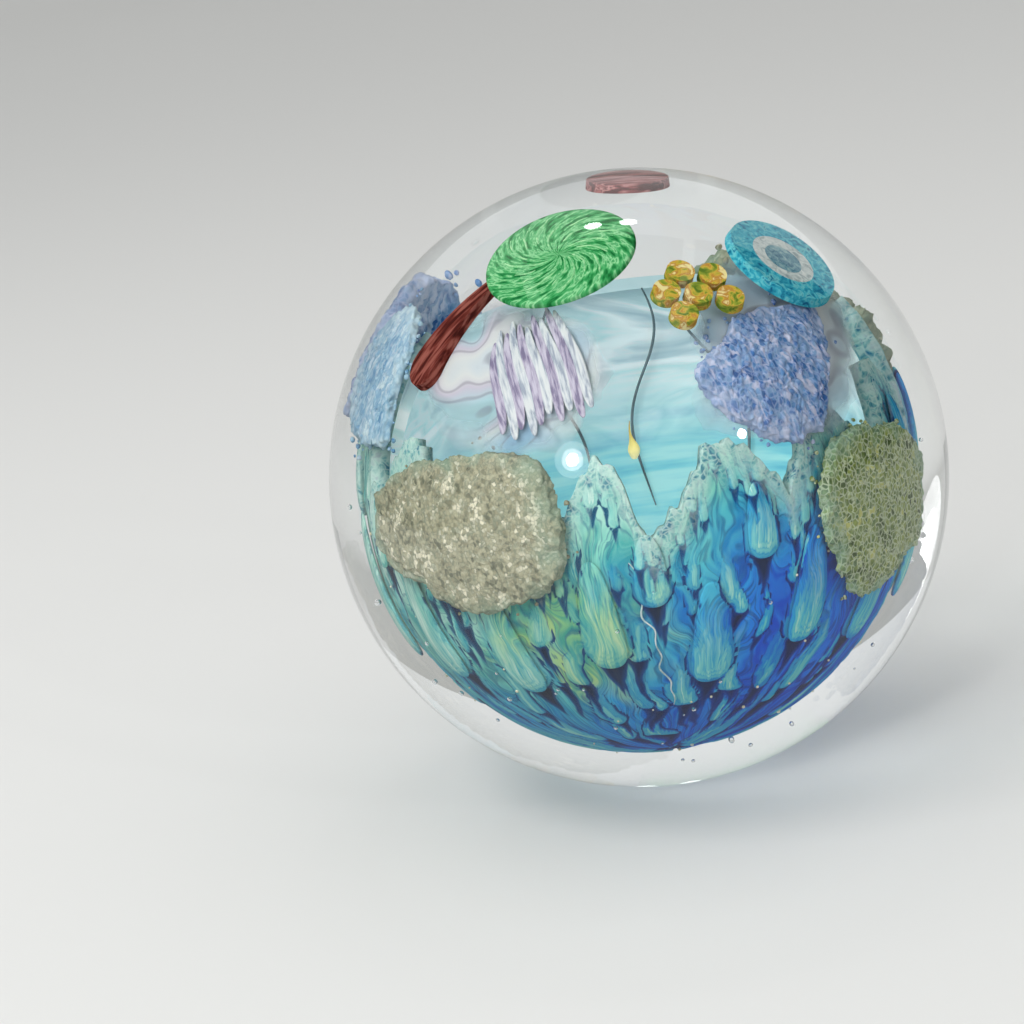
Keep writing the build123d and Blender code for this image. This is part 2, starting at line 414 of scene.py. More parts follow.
def marble(piece, azimuth, latitude, rim):
    """Lays the drips over a piece, keeps them for its material, and returns how proud it stands."""
    places = on_ball(azimuth, latitude, bowl_reach)
    waves = np.array([noise.noise_vector(Vector(p) / (4.5 * mm)) for p in places])
    ragged = np.array([noise.noise_vector(Vector(p) / (1.3 * mm)) for p in places])
    round_it = bowl_reach * np.maximum(np.cos(latitude), 0.2)
    frayed = azimuth + ragged[:, 0] * 0.22 * mm / round_it
    swayed = frayed + waves[:, 0] * 1.3 * mm / round_it
    sunk = latitude + (waves[:, 1] * 1.6 + ragged[:, 1] * 0.3) * mm / bowl_reach
    fields = [np.full_like(azimuth, -9.0 * mm) for _ in range(2)]
    fields += [np.zeros_like(azimuth) for _ in range(3)]
    lay(fields, tongues, swayed, sunk)
    lay(fields, fat_runs, frayed, latitude)
    lay(fields, fringe, frayed, latitude)
    inside, gap, tint, parting, run = fields
    pushed = parting / mm + waves[:, 2] * 1.5 + ragged[:, 2] * 0.12
    below_rim = (rim - latitude) * bowl_reach / mm
    kept = (inside / mm, gap / mm, run, tint, pushed, below_rim)
    for name, values in zip(marble_names, kept):
        layer = piece.data.attributes.new(name, "FLOAT", "POINT")
        layer.data.foreach_set("value", values.astype(np.float32))
    return smooth(-0.3, 0.7, inside / mm) * smooth(0.2, 0.8, run) - smooth(-0.2, 0.3, gap / mm)


# A grid is wrapped round the bowl, up its outside, over the rim and down its inside.
outer_rows, inner_rows, bowl_segments = 176, 20, 480
rows = outer_rows + 1 + inner_rows
bowl_mesh = bmesh.new()
bmesh.ops.create_grid(bowl_mesh, x_segments=bowl_segments, y_segments=rows, size=0.5)
for vert in bowl_mesh.verts:
    row = round((vert.co.y + 0.5) * rows)
    turn = round((vert.co.x + 0.5) * bowl_segments) * math.tau / bowl_segments
    outer = row <= outer_rows
    radius = bowl_reach if outer else bowl_inside
    share = row / outer_rows if outer else (rows - row) / inner_rows
    a = -math.pi / 2 + (math.pi / 2 + rim_latitude) * share
    level = radius * math.cos(a)
    vert.co = (level * math.cos(turn), level * math.sin(turn), radius * math.sin(a))
bmesh.ops.remove_doubles(bowl_mesh, verts=bowl_mesh.verts, dist=0.002 * mm)
bmesh.ops.recalc_face_normals(bowl_mesh, faces=bowl_mesh.faces)

marbled, tree, shader = coloured_glass("combed cobalt glass")
bowl = finished(bowl_mesh, "marbled_bowl", marbled)
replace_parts(bowl, "cobalt_bowl")
points = read_points(bowl)
reach = np.linalg.norm(points, axis=1)
azimuth = np.arctan2(points[:, 0], -points[:, 1])
latitude = np.arcsin(np.clip(points[:, 2] / reach, -1, 1))
rim = rim_at(azimuth)
risen = (latitude + math.pi / 2) / (rim_latitude + math.pi / 2)
latitude = -math.pi / 2 + risen * (rim + math.pi / 2)
proud = marble(bowl, azimuth, latitude, rim)
drip_relief = 0.12 * mm
relief = np.where(reach > bowl_reach - bowl_wall / 2, (proud - 1) * drip_relief, 0)
bowl.data.vertices.foreach_set("co", on_ball(azimuth, latitude, reach + relief).ravel())
bowl.data.update()

place = add_node(tree, "TexCoord", out="Object")
centred = add_node(tree, "VectorMath", [place, middle], operation="SUBTRACT")
part = add_node(tree, "SeparateXYZ", [centred]).node.outputs
forward = add_node(tree, "Math", [part["Y"], -1.0], operation="MULTIPLY")
bearing = add_node(tree, "Math", [part["X"], forward], operation="ARCTAN2")
inside_in, gap_in, run_in, tint_in, parting_in, below_rim = (
    add_node(tree, "Attribute", attribute_name=name, out="Fac") for name in marble_names
)

# The combed ground: cobalt low down and to the right, teal above, and strands of yellow-green on
# the left. It is drawn out downwards, so its lines lie close across and run long.
broad = add_node(tree, "TexNoise", {"Vector": centred, "Scale": 1 / (13 * mm), "Detail": 2.0})
stray = add_node(tree, "MapRange", [broad, 0.3, 0.7, -6 * mm, 6 * mm])
slope = add_node(tree, "Math", [part["X"], -0.7, part["Z"]], operation="MULTIPLY_ADD")
level = add_node(tree, "Math", [slope, stray], operation="ADD")
depth_of_blue = add_node(tree, "MapRange", [level, -24 * mm, 9 * mm])
ground = add_node(
    tree,
    "ValToRGB",
    [depth_of_blue],
    [(0.0, "#004cd4"), (0.25, "#006cd6"), (0.45, "#0c8cc0"), (0.7, "#34a4a4"), (0.92, "#6ab6aa")],
)
ground_light = add_node(
    tree,
    "ValToRGB",
    [depth_of_blue],
    [(0.0, "#0f80f0"), (0.25, "#2bacea"), (0.45, "#54c4d0"), (0.7, "#8ad6c4"), (0.92, "#bbe2d5")],
)
drawn_out = 0.11 / mm
across = add_node(tree, "Math", [bearing, bowl_reach / mm, parting_in], operation="MULTIPLY_ADD")
down = add_node(tree, "Math", [part["Z"], drawn_out], operation="MULTIPLY")
strand = add_node(tree, "CombineXYZ", {"X": across, "Y": down})
combed = add_node(tree, "TexNoise", {"Vector": strand, "Scale": 0.55, "Detail": 3.0, "Roughness": 0.6})
lined = add_node(tree, "MapRange", [combed, 0.36, 0.64])
hair_fine = add_node(tree, "TexNoise", {"Vector": strand, "Scale": 2.4, "Detail": 2.0})
hair_fine = add_node(tree, "MapRange", [hair_fine, 0.38, 0.62, -0.3, 0.3])
lined = add_node(tree, "Math", [lined, hair_fine], operation="ADD", use_clamp=True)
combed_ground = add_node(tree, "Mix", {"Factor": lined, "A": ground, "B": ground_light}, **blended)
green_middle = (-8 * mm, -20 * mm, -11 * mm)
away = add_node(tree, "VectorMath", [centred, green_middle], operation="DISTANCE", out="Value")
nearness = add_node(tree, "MapRange", [away, 3 * mm, 17 * mm, 0.34, -0.25])
wide_strand = add_node(tree, "VectorMath", [strand, (0.2, 1, 1)], operation="MULTIPLY")
bands = add_node(tree, "TexNoise", {"Vector": wide_strand, "Scale": 1.0, "Detail": 2.0})
glow = add_node(tree, "Math", [bands, nearness], operation="ADD")
glow = add_node(tree, "MapRange", [glow, 0.5, 0.78, 0.0, 0.9])
yellow_green = add_node(
    tree, "ValToRGB", [lined], [(0.1, "#4aa58c"), (0.5, "#86c486"), (0.85, "#b9d680")]
)
glowing = add_node(tree, "Mix", {"Factor": glow, "A": combed_ground, "B": yellow_green}, **blended)
crest = add_node(tree, "Math", [combed, 55.0], operation="MULTIPLY")
crest = add_node(tree, "Math", [crest], operation="SINE")
hairline = add_node(tree, "MapRange", [crest, 0.35, 1.0, 0.0, 0.5])
line_colour = add_node(
    tree, "ValToRGB", [depth_of_blue], [(0.0, "#0a2a78"), (0.5, "#0f4f86"), (1.0, "#2a6f86")]
)
lit_ground = add_node(tree, "Mix", {"Factor": hairline, "A": glowing, "B": line_colour}, **blended)

# The navy gaps, with a little aubergine in some of them.
gap_edge = add_node(tree, "MapRange", [gap_in, -0.1, 0.06, 0.0, 0.96])
navy = add_node(tree, "ValToRGB", [broad], [(0.42, "#04123c"), (0.55, "#071c52"), (0.66, "#1a112e")])
gap_heart = add_node(tree, "MapRange", [gap_in, 0.0, 0.5])
gap_rim = add_node(
    tree, "ValToRGB", [depth_of_blue], [(0.0, "#0a2f90"), (0.5, "#0b4a86"), (1.0, "#1d5f7c")]
)
gap_colour = add_node(tree, "Mix", {"Factor": gap_heart, "A": gap_rim, "B": navy}, **blended)
gapped = add_node(tree, "Mix", {"Factor": gap_edge, "A": lit_ground, "B": gap_colour}, **blended)

# The drips: a shade lighter than the ground that they come out of, ringed with finer lines that
# follow their edges, and milkier near the rim.
drip_edge = add_node(tree, "MapRange", [inside_in, -0.06, 0.1])
folds = add_node(tree, "Math", [lined, 0.5, inside_in], operation="MULTIPLY_ADD")
ring = add_node(tree, "Math", [folds, 11.0], operation="MULTIPLY")
ring = add_node(tree, "Math", [ring], operation="SINE")
ring = add_node(tree, "MapRange", [ring, 0.1, 1.0, 0.0, -0.22])
capped = add_node(tree, "Math", [inside_in, 1.0], operation="MINIMUM")
paling = add_node(tree, "Math", [capped, 0.5, ring], operation="MULTIPLY_ADD")
paling = add_node(tree, "Math", [tint_in, 0.32, paling], operation="MULTIPLY_ADD")
paling = add_node(tree, "Math", [lined, 0.32, paling], operation="MULTIPLY_ADD")
drip_low = add_node(
    tree,
    "ValToRGB",
    [paling],
    [(0.0, "#005ad0"), (0.22, "#0084d8"), (0.45, "#20a8d8"), (0.75, "#60ccd4"), (1.0, "#aee6d6")],
)
drip_high = add_node(
    tree,
    "ValToRGB",
    [paling],
    [(0.0, "#1f8a9a"), (0.22, "#3fa8aa"), (0.45, "#70c4b8"), (0.75, "#aadccb"), (1.0, "#dcf0e4")],
)
drip = add_node(tree, "Mix", {"Factor": depth_of_blue, "A": drip_low, "B": drip_high}, **blended)
drip_glow = add_node(tree, "Math", [glow, 0.55], operation="MULTIPLY")
drip = add_node(tree, "Mix", {"Factor": drip_glow, "A": drip, "B": yellow_green}, **blended)
emerging = add_node(tree, "MapRange", [run_in, 0.1, 0.75])
drip_share = add_node(tree, "Math", [drip_edge, emerging], operation="MULTIPLY")
dripped = add_node(tree, "Mix", {"Factor": drip_share, "A": gapped, "B": drip}, **blended)
froth = add_node(
    tree, "TexNoise", {"Vector": centred, "Scale": 1 / (1.2 * mm), "Detail": 3.0, "Distortion": 0.8}
)
from_rim = add_node(tree, "Math", [froth, 5.0, below_rim], operation="MULTIPLY_ADD")
milky = add_node(tree, "MapRange", [from_rim, 2.8, 7.6, 0.85, 0.0])
uneven = add_node(
    tree, "TexNoise", {"Vector": centred, "Scale": 1 / (1.1 * mm), "Detail": 1.0}, out="Color"
)
foam_place = add_node(
    tree, "VectorMath", [uneven, (1.4 * mm, 1.4 * mm, 1.4 * mm)], operation="MULTIPLY"
)
foam_place = add_node(tree, "VectorMath", [centred, foam_place], operation="ADD")
cells = add_node(
    tree, "TexVoronoi", {"Vector": foam_place, "Scale": 1 / (0.7 * mm)}, feature="DISTANCE_TO_EDGE"
)
wall = add_node(tree, "MapRange", [cells, 0.02, 0.2, 0.6, 0.0])
froth_colour = add_node(
    tree,
    "ValToRGB",
    [froth],
    [(0.34, "#356f8c"), (0.42, "#78b1b1"), (0.58, "#c3ded3"), (0.75, "#b4b3c2")],
)
foam = add_node(tree, "Mix", {"Factor": wall, "A": froth_colour, "B": linear("#d3e6dc")}, **blended)
frothed = add_node(tree, "Mix", {"Factor": milky, "A": dripped, "B": foam}, **blended)
tree.links.new(frothed, shader.inputs["Base Color"])

# ---- Aqua runs ----
# The fattest of the tongues, which stand proud of the bowl in two tiers. They are of the bowl's
# own glass, so its pattern runs on over them.
def gather(whole, one):
    """Moves a mesh into a bigger one. Making it there takes longer, the more is there."""
    data = bpy.data.meshes.new("one")
    one.to_mesh(data)
    one.free()
    whole.from_mesh(data)
    bpy.data.meshes.remove(data)


run_thickness = 0.95 * mm
run_inside = bowl_reach - 0.15 * mm
runs_mesh = bmesh.new()
for latitude, length, width, offset in run_tiers:
    for i in range(run_count):
        start, heart = place_of_run(i, latitude, offset)
        one = bmesh.new()
        for vert in bmesh.ops.create_uvsphere(one, u_segments=40, v_segments=48, radius=1.0)["verts"]:
            across_it, out, up = vert.co
            ring_size = math.sqrt(max(1 - up * up, 1e-6))
            belly = (1 - abs(up) ** 2.6) ** (1 / 2.6) * (0.8 - 0.2 * up)
            side = across_it / ring_size * belly * width / 2 * mm
            bulge = (out / ring_size * belly + 1) / 2 * run_thickness
            rise = heart + up * length / 2 * mm / run_inside
            turn = start + side / run_inside / math.cos(rise)
            vert.co = on_ball(turn, rise, run_inside + bulge)
        gather(runs_mesh, one)
bmesh.ops.recalc_face_normals(runs_mesh, faces=runs_mesh.faces)
runs = finished(runs_mesh, "run_drops", marbled)
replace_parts(runs, "aqua_runs")
from_middle = read_points(runs) - np.array(middle)
azimuth = np.arctan2(from_middle[:, 0], -from_middle[:, 1])
latitude = np.arcsin(from_middle[:, 2] / np.linalg.norm(from_middle, axis=1))
marble(runs, azimuth, latitude, rim_at(azimuth))

# ---- Milky films ----
# Smears of lilac and white opal under the pads and the canes, which fill the core out between
# them. Stirring left them with thin grey lines, like the rings in agate.
def smear(meshed, azimuth, latitude, turn, width, height, seed):
    """Adds a thin round-edged patch of glass that lies on the core."""
    along, beside, out = lying_at(azimuth, latitude, turn)
    for vert in bmesh.ops.create_uvsphere(meshed, u_segments=96, v_segments=40, radius=1.0)["verts"]:
        u, v, w = vert.co
        vert[fading] = math.hypot(u, v)
        spot = Vector((u, v, seed))
        edge = 1 + 0.2 * noise.noise(spot * 1.6) + 0.08 * noise.noise(spot * 7)
        flat = out * film_reach + along * u * edge * width / 2 + beside * v * edge * height / 2
        vert.co = middle + flat.normalized() * (film_reach + w * film_thickness / 2)


film_reach = bowl_reach + 0.9 * mm
film_thickness = 0.12 * mm
films = bmesh.new()
fading = films.verts.layers.float.new("fading")
smear(films, -48, 43, 0, 34 * mm, 19 * mm, 1.0)
smear(films, 58, 38, 15, 34 * mm, 20 * mm, 4.0)
milk, tree, shader = coloured_glass("lilac and white opal")
place = add_node(tree, "TexCoord", out="Object")
stirred = add_node(
    tree, "TexNoise", {"Vector": place, "Scale": 1 / (13 * mm), "Detail": 1.0, "Distortion": 1.0}
)
milk_tone = add_node(
    tree,
    "ValToRGB",
    [stirred],
    [(0.3, "#92b4cc"), (0.42, "#bccad4"), (0.5, "#d2d4d2"), (0.58, "#c2bcc8"), (0.7, "#a9c8ce")],
)
agate = add_node(tree, "Math", [stirred, 60.0], operation="MULTIPLY")
agate = add_node(tree, "Math", [agate], operation="SINE")
agate = add_node(tree, "MapRange", [agate, 0.6, 1.0, 0.0, 0.5])
milky = add_node(tree, "Mix", {"Factor": agate, "A": milk_tone, "B": linear("#837f8c")}, **blended)
outwards = add_node(tree, "Attribute", attribute_name="fading", out="Fac")
outwards = add_node(tree, "Math", [stirred, 0.8, outwards], operation="MULTIPLY_ADD")
thinning = add_node(tree, "MapRange", [outwards, 0.9, 1.35, 1.0, 0.0])
tree.links.new(thinning, shader.inputs["Alpha"])
tree.links.new(milky, shader.inputs["Base Color"])
finished(films, "milky_films", milk)

# ---- Crushed-glass pads ----
# Beds of crushed coloured glass, rolled up hot on the outside of the bowl. Each is a crust of
# half-melted grains just under a millimetre across, with a few stray grains round its edge.
grain_size = 0.8 * mm
crust_voxel = 0.22 * mm
sectors = 36
strays = 30


def sector_of(turn):
    """Which of the sectors round a pad's middle an angle lies in."""
    return int((turn + math.pi) / math.tau * sectors) % sectors


def crushed(node, name, material, seed, relief=0.14 * mm):
    """Turns a pad into a crust of grains, and strews a few round it."""
    chance = random.Random(seed)
    pad = bmesh.new()
    pad.from_mesh(nodes[node].data)
    bmesh.ops.remove_doubles(pad, verts=pad.verts, dist=0.002 * mm)
    piece = finished(pad, name, material)
    piece.modifiers.new("even", "REMESH").voxel_size = crust_voxel
    bpy.context.view_layer.update()
    remeshed = piece.evaluated_get(bpy.context.evaluated_depsgraph_get())
    even = bpy.data.meshes.new_from_object(remeshed)
    piece.modifiers.clear()
    crust = bmesh.new()
    crust.from_mesh(even)
    crust.normal_update()
    heart = sum((v.co for v in crust.verts), Vector()) / len(crust.verts)
    out = (heart - middle).normalized()
    across = out.cross(Vector((0, 0, 1))).normalized()
    upward = across.cross(out)
    hue = crust.verts.layers.float.new("hue")
    rim_share = crust.verts.layers.float.new("rim_share")
    edge_reach = [0.0] * sectors
    spread = []
    for vert in crust.verts:
        flat = vert.co - heart
        turn = math.atan2(flat.dot(upward), flat.dot(across))
        reach = math.hypot(flat.dot(upward), flat.dot(across))
        sector = sector_of(turn)
        edge_reach[sector] = max(edge_reach[sector], reach)
        spread.append((vert, sector, reach))
        near, cells = noise.voronoi(vert.co / grain_size)
        vert[hue] = (math.sin(cells[0].dot(Vector((12.9, 78.2, 37.7)))) * 4375.85) % 1.0
        crevice = near[1] - near[0]
        ragged = noise.noise_vector(vert.co / (2.5 * mm))
        ragged = (ragged + noise.noise_vector(vert.co / (0.9 * mm)) / 3) * 0.9 * mm
        ragged -= out * ragged.dot(out)
        vert.co += ragged + vert.normal * (min(crevice, 0.6) - 0.3) * relief / 0.3
    for vert, sector, reach in spread:
        vert[rim_share] = reach / edge_reach[sector]
    for _ in range(strays):
        turn = chance.uniform(-math.pi, math.pi)
        reach = edge_reach[sector_of(turn)] + abs(chance.gauss(0, 1.1)) * mm
        flat = heart + (across * math.cos(turn) + upward * math.sin(turn)) * reach
        depth = (heart - middle).length + chance.uniform(-0.4, 0.5) * mm
        spot = Matrix.Translation(middle + (flat - middle).normalized() * depth)
        size = chance.uniform(0.1, 0.3) * mm
        made = bmesh.ops.create_icosphere(crust, subdivisions=2, radius=size, matrix=spot)["verts"]
        shade = chance.random()
        for vert in made:
            vert[hue] = shade
            vert[rim_share] = 0.8
            vert.co += noise.noise_vector(vert.co / (0.5 * mm)) * size * 0.5
    for face in crust.faces:
        face.smooth = True
    crust.to_mesh(piece.data)
    crust.free()
    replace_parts(piece, node)


def crushed_glass(name, stops, walls, veins, fringe, fine=0.5 * mm, drawn=0.25):
    """Grains of mixed colours, with a colour and a share each for their walls and for veins.

    The fringe is the colour that they fade to at the pad's edge. They are as wide as fine says,
    and longer the less drawn is.
    """
    made, tree, shader = coloured_glass(name)
    hue = add_node(tree, "Attribute", attribute_name="hue", out="Fac")
    place = add_node(tree, "TexCoord", out="Object")
    cloud = add_node(tree, "TexNoise", {"Vector": place, "Scale": 1 / (3 * mm), "Detail": 2.0})
    pulled = add_node(tree, "Mapping", {"Vector": place, "Scale": (1, 1, (1 + drawn) / 2)})
    chip = add_node(tree, "TexVoronoi", {"Vector": pulled, "Scale": 1 / fine}, out="Color")
    chip = add_node(tree, "SeparateColor", {"Color": chip})
    seam = add_node(
        tree, "TexVoronoi", {"Vector": pulled, "Scale": 1 / fine}, feature="DISTANCE_TO_EDGE"
    )
    varied = add_node(tree, "Math", [chip, 0.75, -0.95], operation="MULTIPLY_ADD")
    varied = add_node(tree, "Math", [hue, 0.45, varied], operation="MULTIPLY_ADD")
    varied = add_node(tree, "Math", [cloud, 1.7, varied], operation="MULTIPLY_ADD")
    grain = add_node(tree, "ValToRGB", [varied], stops)
    sunk = add_node(tree, "MapRange", [seam, 0.0, 0.16, walls[1], 0.0])
    walled = add_node(tree, "Mix", {"Factor": sunk, "A": grain, "B": linear(walls[0])}, **blended)
    stretched = add_node(tree, "Mapping", {"Vector": place, "Scale": (1, 1, drawn)})
    vein = add_node(
        tree,
        "TexNoise",
        {"Vector": stretched, "Scale": 1 / (0.8 * mm), "Detail": 2.0, "Distortion": 0.6},
    )
    veined = add_node(tree, "MapRange", [vein, 0.52, 0.66, 0.0, veins[1]])
    shade = add_node(tree, "Mix", {"Factor": veined, "A": walled, "B": linear(veins[0])}, **blended)
    outwards = add_node(tree, "Attribute", attribute_name="rim_share", out="Fac")
    outwards = add_node(tree, "Math", [cloud, 0.5, outwards], operation="MULTIPLY_ADD")
    fringed = add_node(tree, "MapRange", [outwards, 1.08, 1.32, 0.0, 0.7])
    fused = add_node(tree, "Mix", {"Factor": fringed, "A": shade, "B": linear(fringe)}, **blended)
    tree.links.new(fused, shader.inputs["Base Color"])
    return made


sand_frit = crushed_glass(
    "sand frit",
    [(0.0, "#6f7160"), (0.25, "#96937a"), (0.5, "#b2ae93"), (0.75, "#8d917c"), (1.0, "#e6e0c8")],
    walls=("#7c8070", 0.5),
    veins=("#cbc5a8", 0.4),
    fringe="#7f9c88",
    fine=0.42 * mm,
    drawn=0.9,
)
moss_frit = crushed_glass(
    "moss frit",
    [(0.0, "#4a5c34"), (0.3, "#708448"), (0.55, "#98a558"), (0.8, "#5c7850"), (1.0, "#c2c478")],
    walls=("#d3dbbc", 0.85),
    veins=("#9fae86", 0.55),
    fringe="#7fa695",
    fine=0.6 * mm,
    drawn=0.8,
)
heather_frit = crushed_glass(
    "heather frit",
    [(0.0, "#36609e"), (0.3, "#5280b4"), (0.55, "#82a2c6"), (0.8, "#4a70a8"), (1.0, "#a0b4d2")],
    walls=("#9fb0d4", 0.6),
    veins=("#cfcfe2", 0.75),
    fringe="#b4bfd8",
    fine=0.6 * mm,
)
sky_frit = crushed_glass(
    "sky frit",
    [(0.0, "#5f8fb4"), (0.3, "#86afc9"), (0.55, "#a9c8d6"), (0.8, "#7aa3c2"), (1.0, "#c8dbe0")],
    walls=("#6d98b8", 0.4),
    veins=("#ccd9e2", 0.6),
    fringe="#b9d3dc",
)
crushed("sand_pad", "sand_bed", sand_frit, 1, relief=0.08 * mm)
crushed("moss_pad", "moss_bed", moss_frit, 2)
crushed("heather_pad", "heather_bed", heather_frit, 3)
crushed("sky_pad", "sky_bed", sky_frit, 4)
crushed("rear_sand_pad", "rear_sand_bed", sand_frit, 5)
crushed("rear_heather_pad", "rear_heather_bed", heather_frit, 6)

# ---- Striped ribbon ----
# Canes of lilac and white opal laid side by side and pulled flat. Each is streaked along its
# length, as pulled glass is.
def pulled_cane(name, azimuth, latitude, turn, stops, streak_width=0.5 * mm):
    """Coloured glass streaked along one direction on the ball."""
    made, tree, shader = coloured_glass(name)
    place = add_node(tree, "TexCoord", out="Object")
    turned = lying_at(azimuth, latitude, turn).to_euler()
    along = add_node(tree, "Mapping", {"Vector": place, "Rotation": turned})
    squeezed = add_node(tree, "Mapping", {"Vector": along, "Scale": (0.12, 1, 1)})
    streak = add_node(tree, "TexNoise", {"Vector": squeezed, "Scale": 1 / streak_width, "Detail": 3.0})
    shade = add_node(tree, "ValToRGB", [streak], stops)
    tree.links.new(shade, shader.inputs["Base Color"])
    return made


ribbon_place = (-29, 43, -65)
ribbon_reach = bowl_reach + 1.6 * mm
cane_count = 10
cane_spacing = 1.0 * mm
cane_length = 15 * mm


def ribbon(first, name, material):
    """Every second cane of the ribbon, from the first or the second, pressed against the next."""
    along, beside, out = lying_at(*ribbon_place)
    canes = bmesh.new()
    for i in range(cane_count // 2):
        offset = (2 * i + first - (cane_count - 1) / 2) * cane_spacing
        half = cane_length / 2 * (0.72 + 0.28 * wander(2 * i + first))
        for vert in bmesh.ops.create_uvsphere(canes, u_segments=24, v_segments=48, radius=1.0)["verts"]:
            v, w, u = vert.co
            ring_size = math.hypot(v, w)
            full = (1 - abs(u) ** 3) ** 0.4 / max(ring_size, 1e-6)
            sway = 0.25 * mm * math.sin(u * 3 + 0.4 * i)
            aside = (1 + 0.2 * u) * (offset + sway + v * full * 0.58 * mm)
            flat = out * ribbon_reach + along * half * u + beside * aside
            rise = math.copysign(abs(w * full) ** 0.4, w) * 0.16 * mm
            vert.co = middle + flat.normalized() * (ribbon_reach + rise)
    return finished(canes, name, material)


fine_streak = 0.35 * mm
lilac_stops = [(0.38, "#7d7590"), (0.48, "#a8a0b5"), (0.6, "#c2bccb")]
white_stops = [(0.38, "#98a0ae"), (0.48, "#bfc5cb"), (0.6, "#d4d7d7")]
lilac_cane = pulled_cane("lilac cane", *ribbon_place, lilac_stops, fine_streak)
white_cane = pulled_cane("white opal cane", *ribbon_place, white_stops, fine_streak)
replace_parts(ribbon(0, "lilac_canes", lilac_cane), "lilac_stripes")
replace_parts(ribbon(1, "white_canes", white_cane), "white_stripes")

# ---- Russet streak ----
# One lick of red-brown glass trailed on hot, thick at one end and drawn out thin at the other.
russet_stops = [(0.38, "#431711"), (0.48, "#6a2c24"), (0.6, "#96554a")]
wear("russet_streak", pulled_cane("russet trail", -72, 47, 80, russet_stops))

# ---- Green slice ----
# A slice of ribbed cane, slumped to a flat dome: greens twisted together into a pinwheel, with
# pale threads lying in the twist.
def cased_glass(name, size, stops):
    """Coloured glass with soft clouds of the given size."""
    made, tree, shader = coloured_glass(name)
    place = add_node(tree, "TexCoord", out="Object")
    cloud = add_node(
        tree, "TexNoise", {"Vector": place, "Scale": 1 / size, "Detail": 3.0, "Distortion": 1.2}
    )
    shade = add_node(tree, "ValToRGB", [cloud], stops)
    tree.links.new(shade, shader.inputs["Base Color"])
    return made


green_turn = lying_at(-36, 73)
slice_low, slice_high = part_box("green_slice")
slice_middle = (slice_low + slice_high) / 2
green, tree, shader = coloured_glass("twisted green cane")
place = add_node(tree, "TexCoord", out="Object")
to_slice = {"Rotation": green_turn.to_euler(), "Location": -(green_turn @ slice_middle)}
flat = add_node(tree, "Mapping", {"Vector": place, **to_slice})
level_part = add_node(tree, "Mapping", {"Vector": flat, "Scale": (1, 1, 0)})
reach_out = add_node(tree, "VectorMath", [level_part], operation="LENGTH", out="Value")
twist_of_green = 0.16
twist = add_node(tree, "Math", [reach_out, twist_of_green / mm], operation="MULTIPLY")
twisted = add_node(tree, "VectorRotate", {"Vector": level_part, "Angle": twist}, rotation_type="Z_AXIS")
around = add_node(tree, "VectorMath", [twisted], operation="NORMALIZE")
outwards = add_node(tree, "Math", [reach_out, 0.1 / mm], operation="MULTIPLY")
lifted = add_node(tree, "CombineXYZ", {"Z": outwards})
spoke = add_node(tree, "VectorMath", [around, lifted], operation="ADD")
rib = add_node(tree, "TexNoise", {"Vector": spoke, "Scale": 8.5, "Detail": 3.0})
ribbed = add_node(
    tree,
    "ValToRGB",
    [rib],
    [
        (0.32, "#16662f"),
        (0.42, "#2f8f4c"),
        (0.5, "#4fae68"),
        (0.57, "#9bd9a0"),
        (0.62, "#3f9d59"),
        (0.7, "#74c587"),
    ],
)
tree.links.new(ribbed, shader.inputs["Base Color"])
green_radius, green_half_height = 8.0, 0.75
green_mesh = bmesh.new()
along, beside, out = green_turn
for vert in bmesh.ops.create_uvsphere(green_mesh, u_segments=96, v_segments=48, radius=1.0)["verts"]:
    u, v, w = vert.co
    ring_size = math.hypot(u, v)
    spread = green_radius * mm * ring_size**0.5 / max(ring_size, 1e-6)
    rise = math.copysign(green_half_height * mm * abs(w) ** 0.5, w)
    vert.co = slice_middle + (along * u + beside * v) * spread + out * rise
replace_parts(finished(green_mesh, "green_dome", green), "green_slice")
pale_green = cased_glass("pale green thread", 1.2 * mm, [(0.35, "#6fc081"), (0.65, "#b4e6ae")])
spiral = []
chance = random.Random(21)
each_side, spiral_points = 17, 7
for i in range(2 * each_side):
    points = []
    side = 1 if i < each_side else -1
    nearest, farthest = chance.uniform(0.8, 4.0), chance.uniform(5.0, 7.6)
    for k in range(spiral_points):
        reach = nearest + (farthest - nearest) * k / (spiral_points - 1)
        turn = i * math.tau / each_side + chance.uniform(-0.05, 0.05) - twist_of_green * reach
        face = green_half_height * (1 - (reach / green_radius) ** 4) ** 0.25 * side
        flat = along * math.cos(turn) * reach + beside * math.sin(turn) * reach
        points.append(slice_middle + (flat + out * face) * mm)
    spiral.append(points)
trail_widths = (0.4, 1.0, 0.7, 1.0, 0.4)
green_hairs = hair("green_spiral", spiral, 0.26 * mm, trail_widths, pale_green)
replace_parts(green_hairs, "green_slice_threads")

# ---- Teal slice ----
# A bull's-eye slice: a grey-blue core cased in white and then in teal, clouded as it was pulled.
teal_stops = [(0.3, "#115f86"), (0.4, "#2a93ae"), (0.5, "#3fb0c4"), (0.6, "#74cbd0"), (0.7, "#1f7fa0")]
opal_stops = [(0.3, "#93a3a4"), (0.5, "#c9d2cf"), (0.7, "#dfe3de")]
core_stops = [(0.3, "#3f6f86"), (0.5, "#6f9aa6"), (0.7, "#a3bfc0")]
wear("teal_slice", cased_glass("teal casing", 1.1 * mm, teal_stops))
wear("teal_slice_ring", cased_glass("white opal casing", 0.9 * mm, opal_stops))
wear("teal_slice_eye", cased_glass("grey-blue core", 0.8 * mm, core_stops))

